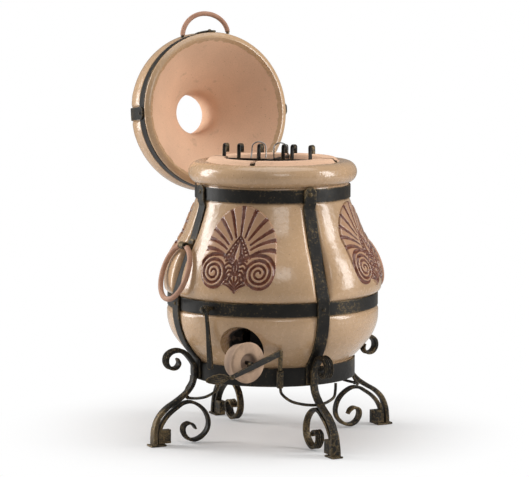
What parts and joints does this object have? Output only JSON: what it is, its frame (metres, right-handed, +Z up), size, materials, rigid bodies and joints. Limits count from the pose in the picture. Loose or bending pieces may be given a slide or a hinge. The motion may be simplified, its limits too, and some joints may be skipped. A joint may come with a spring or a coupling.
{
  "type": "clay tandoor oven",
  "caption": "Bulging glazed clay oven in a riveted iron cage on scrolled legs, with a hinged clay lid, ring handles, a swinging clay plug for the air hole and a hanger for skewers.",
  "frame": {"origin": "on the floor under the middle of the whole oven's bounding box", "axes": "+Z up, -Y towards the plain front strap of the cage, +Y towards the lid hinge, +X towards the right ring handle"},
  "size_m": [0.616, 0.784, 0.953],
  "materials": {
    "glazed_clay": "glossy tan glaze with an orange-peel surface",
    "fired_clay": "matt bare fired clay",
    "forged_iron": "hammered wrought iron, waxed black with rubbed golden edges",
    "bright_wire": "bare drawn steel wire",
    "wound_leather": "strip of tan leather wound round the iron"
  },
  "bodies": {
    "stove": {"pot": "glazed_clay", "strap_front": "forged_iron", "strap_right": "forged_iron", "strap_back": "forged_iron", "strap_left": "forged_iron", "band_lower": "forged_iron", "band_middle": "forged_iron", "band_top": "forged_iron", "rivet_middle_front": "forged_iron", "rivet_middle_right": "forged_iron", "rivet_middle_back": "forged_iron", "rivet_middle_left": "forged_iron", "rivet_top_front": "forged_iron", "rivet_top_right": "forged_iron", "rivet_top_left": "forged_iron", "leg_front": "forged_iron", "leg_right": "forged_iron", "leg_back": "forged_iron", "leg_left": "forged_iron", "scroll_front": "forged_iron", "scroll_right": "forged_iron", "scroll_back": "forged_iron", "scroll_left": "forged_iron", "brace_front": "forged_iron", "brace_right": "forged_iron", "brace_back": "forged_iron", "brace_left": "forged_iron", "base_cross": "forged_iron", "fire_grate": "forged_iron", "ring_eye_left": "forged_iron", "ring_eye_right": "forged_iron", "hinge_plate": "forged_iron", "hinge_pin": "forged_iron", "damper_socket": "forged_iron", "latch_stud": "forged_iron"},
    "lid": {"lid": "fired_clay", "lid_handle_wrap": "wound_leather", "lid_hoop": "forged_iron", "lid_crown_ring": "forged_iron", "lid_strap_front": "forged_iron", "lid_strap_right": "forged_iron", "lid_strap_left": "forged_iron", "lid_rivet_front": "forged_iron", "lid_rivet_right": "forged_iron", "lid_rivet_left": "forged_iron", "lid_hinge_strap": "forged_iron", "lid_handle": "forged_iron"},
    "left_ring": {"ring_left": "forged_iron", "ring_wrap_left": "wound_leather"},
    "right_ring": {"ring_right": "forged_iron", "ring_wrap_right": "wound_leather"},
    "damper": {"damper_arm": "forged_iron", "damper_plug": "fired_clay", "damper_bolt": "forged_iron"},
    "latch": {"latch_bar": "forged_iron", "latch_rosette": "forged_iron"},
    "hanger": {"hanger": "forged_iron", "lifting_loop_a": "bright_wire", "lifting_loop_b": "bright_wire"}
  },
  "joints": [
    {"name": "lid_hinge", "type": "hinge", "parent": "stove", "child": "lid", "pos_m": [0, 0.10054, 0.5467], "axis": [1, 0, 0], "range_deg": [0, 96.1]},
    {"name": "left_ring_swing", "type": "hinge", "parent": "stove", "child": "left_ring", "pos_m": [-0.2215, -0.08396, 0.444], "axis": [0, 1, 0], "range_deg": [0, 150]},
    {"name": "right_ring_swing", "type": "hinge", "parent": "stove", "child": "right_ring", "pos_m": [0.2215, -0.08396, 0.444], "axis": [0, -1, 0], "range_deg": [0, 150]},
    {"name": "damper_swing", "type": "hinge", "parent": "stove", "child": "damper", "pos_m": [-0.08498, -0.28417, 0.165], "axis": [0.0812, 0.1914, -0.9781], "range_deg": [-25, 56]},
    {"name": "latch_swing", "type": "hinge", "parent": "stove", "child": "latch", "pos_m": [-0.21865, -0.20516, 0.318], "axis": [0.8746, 0.4848, 0], "range_deg": [0, 60]},
    {"name": "hanger_lift", "type": "slide", "parent": "stove", "child": "hanger", "axis": [0, 0, -1], "range_m": [-0.35, 0]}
  ]
}
